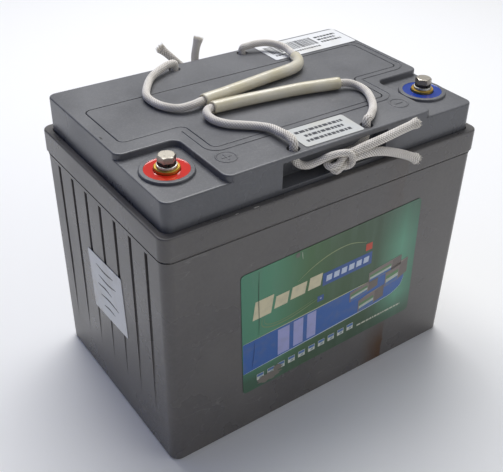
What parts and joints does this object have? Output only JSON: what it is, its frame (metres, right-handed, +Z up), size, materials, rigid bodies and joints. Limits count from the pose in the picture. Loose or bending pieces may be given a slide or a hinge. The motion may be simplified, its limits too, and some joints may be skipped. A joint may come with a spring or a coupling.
{
  "type": "deep cycle battery",
  "caption": "Sealed gel deep cycle battery in a tall ribbed case, with bolt terminals at the front corners and rope carrying handles with plastic grips.",
  "frame": {"origin": "centre of the base", "axes": "+Z up; +X along the long side, to the right when the big label is seen from the front; -Y is the label side, with both terminals"},
  "size_m": [0.26, 0.1869, 0.2236],
  "materials": {
    "case_plastic": "moulded ABS, satin",
    "lid_plastic": "moulded ABS, fine satin grain",
    "positive_paste": "cured lead dioxide paste on a lead grid",
    "negative_paste": "sponge lead paste on a lead grid",
    "glass_mat": "glass fibre mat",
    "cap_rubber": "moulded rubber",
    "cast_lead": "cast lead, dull",
    "terminal_brass": "turned brass, tarnished",
    "red_resin": "poured epoxy, glossy",
    "blue_resin": "poured epoxy, glossy",
    "zinc_plate": "yellow zinc plated steel",
    "bolt_steel": "bright zinc plated steel",
    "rope": "braided polyester rope",
    "sleeve": "aged clear PVC tube",
    "printed_film": "printed polyester label",
    "paper": "white paper label"
  },
  "bodies": {
    "root": {"case": "case_plastic", "lid": "lid_plastic", "vent_cover": "lid_plastic", "valve_cap_1": "cap_rubber", "valve_cap_2": "cap_rubber", "valve_cap_3": "cap_rubber", "valve_cap_4": "cap_rubber", "valve_cap_5": "cap_rubber", "valve_cap_6": "cap_rubber", "positive_plate_group_1": "positive_paste", "positive_plate_group_2": "positive_paste", "positive_plate_group_3": "positive_paste", "positive_plate_group_4": "positive_paste", "positive_plate_group_5": "positive_paste", "positive_plate_group_6": "positive_paste", "negative_plate_group_1": "negative_paste", "negative_plate_group_2": "negative_paste", "negative_plate_group_3": "negative_paste", "negative_plate_group_4": "negative_paste", "negative_plate_group_5": "negative_paste", "negative_plate_group_6": "negative_paste", "separator_1": "glass_mat", "separator_2": "glass_mat", "separator_3": "glass_mat", "separator_4": "glass_mat", "separator_5": "glass_mat", "separator_6": "glass_mat", "intercell_connector_1": "cast_lead", "intercell_connector_2": "cast_lead", "intercell_connector_3": "cast_lead", "intercell_connector_4": "cast_lead", "intercell_connector_5": "cast_lead", "positive_terminal_post": "cast_lead", "positive_terminal_insert": "terminal_brass", "positive_seal_ring": "red_resin", "negative_terminal_post": "cast_lead", "negative_terminal_insert": "terminal_brass", "negative_seal_ring": "blue_resin", "front_rope_knot": "rope", "rear_rope_knot": "rope", "front_label": "printed_film", "end_sticker": "paper", "type_label": "paper", "barcode_label": "paper"},
    "front_handle": {"front_rope_loop": "rope", "front_grip": "sleeve"},
    "rear_handle": {"rear_rope_loop": "rope", "rear_grip": "sleeve"},
    "positive_washers": {"positive_flat_washer": "zinc_plate", "positive_spring_washer": "bolt_steel"},
    "positive_bolt": {"positive_bolt": "bolt_steel"},
    "negative_washers": {"negative_flat_washer": "zinc_plate", "negative_spring_washer": "bolt_steel"},
    "negative_bolt": {"negative_bolt": "bolt_steel"}
  },
  "joints": [
    {"name": "front_handle_lift", "type": "hinge", "parent": "root", "child": "front_handle", "pos_m": [0, -0.0715, 0.2159], "axis": [1, 0, 0], "range_deg": [0, 90]},
    {"name": "rear_handle_lift", "type": "hinge", "parent": "root", "child": "rear_handle", "pos_m": [0, 0.0715, 0.2159], "axis": [-1, 0, 0], "range_deg": [0, 90]},
    {"name": "positive_washers_rise", "type": "slide", "parent": "root", "child": "positive_washers", "axis": [0, 0, 1], "range_m": [0, 0.012]},
    {"name": "positive_bolt_turn", "type": "hinge", "parent": "positive_washers", "child": "positive_bolt", "pos_m": [-0.1045, -0.0475, 0.2155], "axis": [0, 0, 1], "range_deg": [0, 4320]},
    {"name": "negative_washers_rise", "type": "slide", "parent": "root", "child": "negative_washers", "axis": [0, 0, 1], "range_m": [0, 0.012]},
    {"name": "negative_bolt_turn", "type": "hinge", "parent": "negative_washers", "child": "negative_bolt", "pos_m": [0.1045, -0.0475, 0.2155], "axis": [0, 0, 1], "range_deg": [0, 4320]}
  ],
  "couplings": [
    {"joint": "positive_bolt_turn", "follows": "positive_washers_rise", "rad_per_m": 6283.2},
    {"joint": "negative_bolt_turn", "follows": "negative_washers_rise", "rad_per_m": 6283.2}
  ]
}
